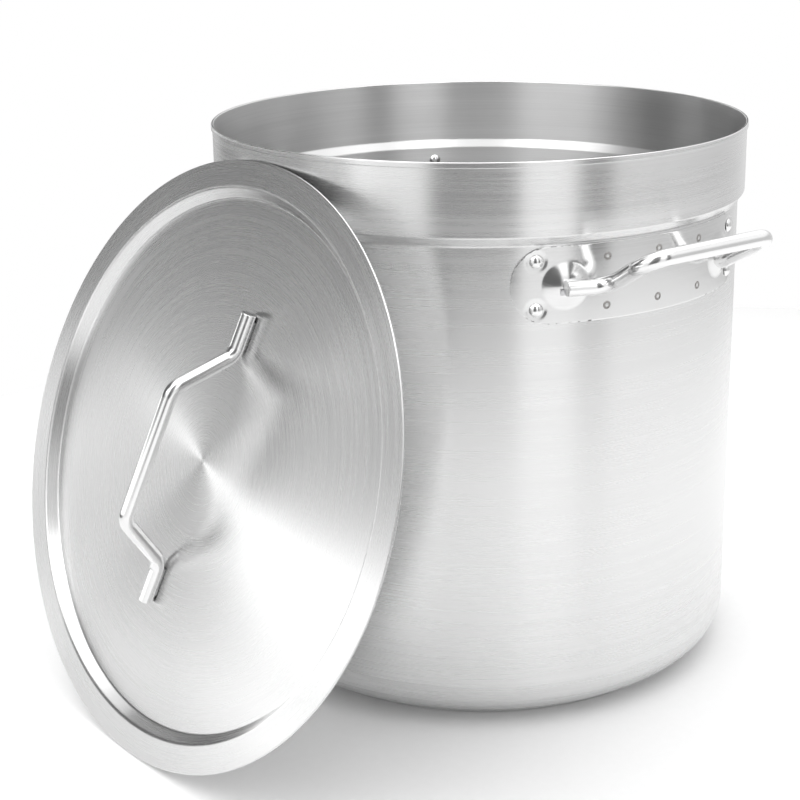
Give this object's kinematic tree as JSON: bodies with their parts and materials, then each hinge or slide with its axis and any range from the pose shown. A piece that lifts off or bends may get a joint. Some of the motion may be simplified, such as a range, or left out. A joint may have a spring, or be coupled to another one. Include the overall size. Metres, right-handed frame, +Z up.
{
  "type": "brew kettle",
  "caption": "Large straight-sided stainless brew kettle with a stepped collar, sandwich base, riveted side handles and a loose sunken lid that leans against the pot.",
  "frame": {"origin": "centre of the flat face that the kettle stands on", "axes": "+Z up along the pot's axis, side handles on +X and -X, lid leaning on the -Y side"},
  "size_m": [0.632, 0.6708, 0.512],
  "materials": {
    "stainless": "satin",
    "lid_steel": "satin",
    "handle_steel": "satin",
    "polished_steel": "polished",
    "aluminium_core": "satin"
  },
  "bodies": {
    "kettle": {"pot_shell": "stainless", "base_core": "aluminium_core", "base_cap": "stainless", "bracket_right": "handle_steel", "bracket_rivets_right": "polished_steel", "bracket_spot_welds_right": "handle_steel", "side_handle_right": "polished_steel", "side_handle_welds_right": "handle_steel", "bracket_left": "handle_steel", "bracket_rivets_left": "polished_steel", "bracket_spot_welds_left": "handle_steel", "side_handle_left": "polished_steel", "side_handle_welds_left": "handle_steel"},
    "lid": {"lid_cover": "lid_steel", "lid_handle": "polished_steel", "lid_handle_welds": "lid_steel"}
  },
  "joints": [
    {"name": "lid_draw", "type": "slide", "parent": "kettle", "child": "lid", "axis": [0.0761, -0.9458, 0.3156], "range_m": [0, 0.5]}
  ]
}
